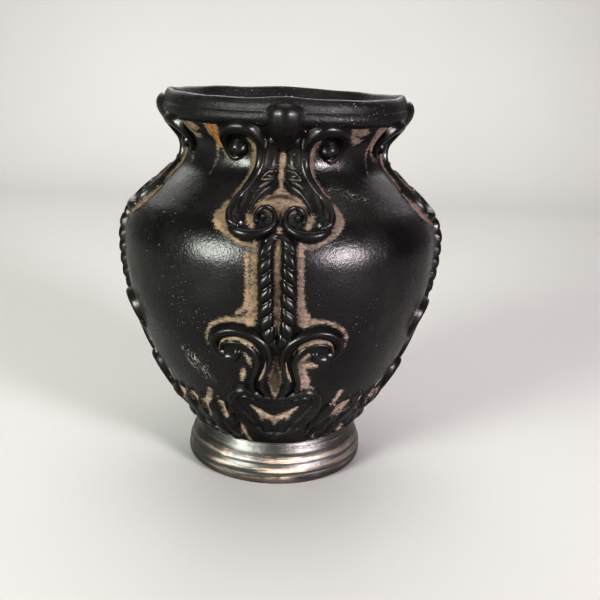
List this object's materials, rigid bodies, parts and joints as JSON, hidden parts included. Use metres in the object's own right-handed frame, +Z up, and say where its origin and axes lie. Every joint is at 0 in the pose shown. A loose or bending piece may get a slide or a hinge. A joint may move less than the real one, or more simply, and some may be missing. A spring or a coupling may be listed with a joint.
{
  "type": "clay pot",
  "caption": "Waisted black clay pot on a flared foot, with a rolled lip and moulded relief panels of scrolls, twisted ropes and leaves.",
  "frame": {"origin": "centre of the foot's underside, on the surface it stands on", "axes": "+Z up along the pot's axis; -Y towards the front relief panel; +X to the right of that panel"},
  "size_m": [0.1542, 0.1542, 0.1799],
  "materials": {
    "wall_clay": "satin black coat over pale pinkish brown clay, bare in feathered halos beside the relief, dusty and lightly scuffed",
    "foot_clay": "black coat rubbed to a soft graphite sheen with pinkish tan streaks on the ridges",
    "relief_clay": "satin black coat, worn to pale clay along sharp edges and in the hollows"
  },
  "bodies": {
    "root": {"back_garland": "relief_clay", "back_left_bracket": "relief_clay", "back_left_half_leaf": "relief_clay", "back_left_rope": "relief_clay", "back_left_scroll": "relief_clay", "back_left_volute": "relief_clay", "back_palmette": "relief_clay", "back_right_bracket": "relief_clay", "back_right_half_leaf": "relief_clay", "back_right_rope": "relief_clay", "back_right_scroll": "relief_clay", "back_right_volute": "relief_clay", "back_strap_head": "relief_clay", "body": "wall_clay", "collar": "wall_clay", "foot": "foot_clay", "front_garland": "relief_clay", "front_left_bracket": "relief_clay", "front_left_half_leaf": "relief_clay", "front_left_rope": "relief_clay", "front_left_scroll": "relief_clay", "front_left_volute": "relief_clay", "front_palmette": "relief_clay", "front_right_bracket": "relief_clay", "front_right_half_leaf": "relief_clay", "front_right_rope": "relief_clay", "front_right_scroll": "relief_clay", "front_right_volute": "relief_clay", "front_strap_head": "relief_clay", "left_garland": "relief_clay", "left_left_bracket": "relief_clay", "left_left_half_leaf": "relief_clay", "left_left_rope": "relief_clay", "left_left_scroll": "relief_clay", "left_left_volute": "relief_clay", "left_palmette": "relief_clay", "left_right_bracket": "relief_clay", "left_right_half_leaf": "relief_clay", "left_right_rope": "relief_clay", "left_right_scroll": "relief_clay", "left_right_volute": "relief_clay", "left_strap_head": "relief_clay", "right_garland": "relief_clay", "right_left_bracket": "relief_clay", "right_left_half_leaf": "relief_clay", "right_left_rope": "relief_clay", "right_left_scroll": "relief_clay", "right_left_volute": "relief_clay", "right_palmette": "relief_clay", "right_right_bracket": "relief_clay", "right_right_half_leaf": "relief_clay", "right_right_rope": "relief_clay", "right_right_scroll": "relief_clay", "right_right_volute": "relief_clay", "right_strap_head": "relief_clay"}
  },
  "joints": []
}
